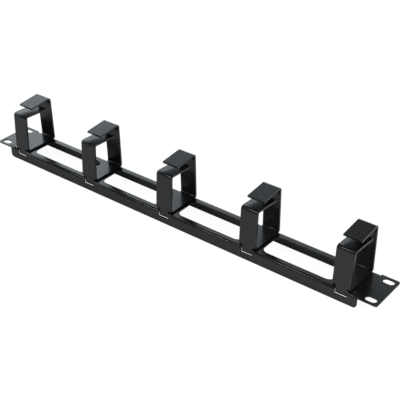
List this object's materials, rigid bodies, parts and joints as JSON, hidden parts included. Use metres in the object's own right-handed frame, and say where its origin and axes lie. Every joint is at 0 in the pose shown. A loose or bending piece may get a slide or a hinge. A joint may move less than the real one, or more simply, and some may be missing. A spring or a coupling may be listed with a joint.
{
  "type": "rack cable management panel",
  "caption": "One-unit rack panel folded from sheet steel, with open rings that guide cables across its front and openings that let them pass through.",
  "frame": {"origin": "centre of the four mounting slots, on the ears' rear face, which bears on the rack's rails", "axes": "+X along the panel, +Y across it towards the rings' tall legs, +Z out of the front face, the way the rings stand"},
  "size_m": [0.4826, 0.0436, 0.0638],
  "materials": {
    "powder_coat": "satin"
  },
  "bodies": {
    "root": {"panel": "powder_coat", "ring_1": "powder_coat", "ring_2": "powder_coat", "ring_3": "powder_coat", "ring_4": "powder_coat", "ring_5": "powder_coat"}
  },
  "joints": []
}
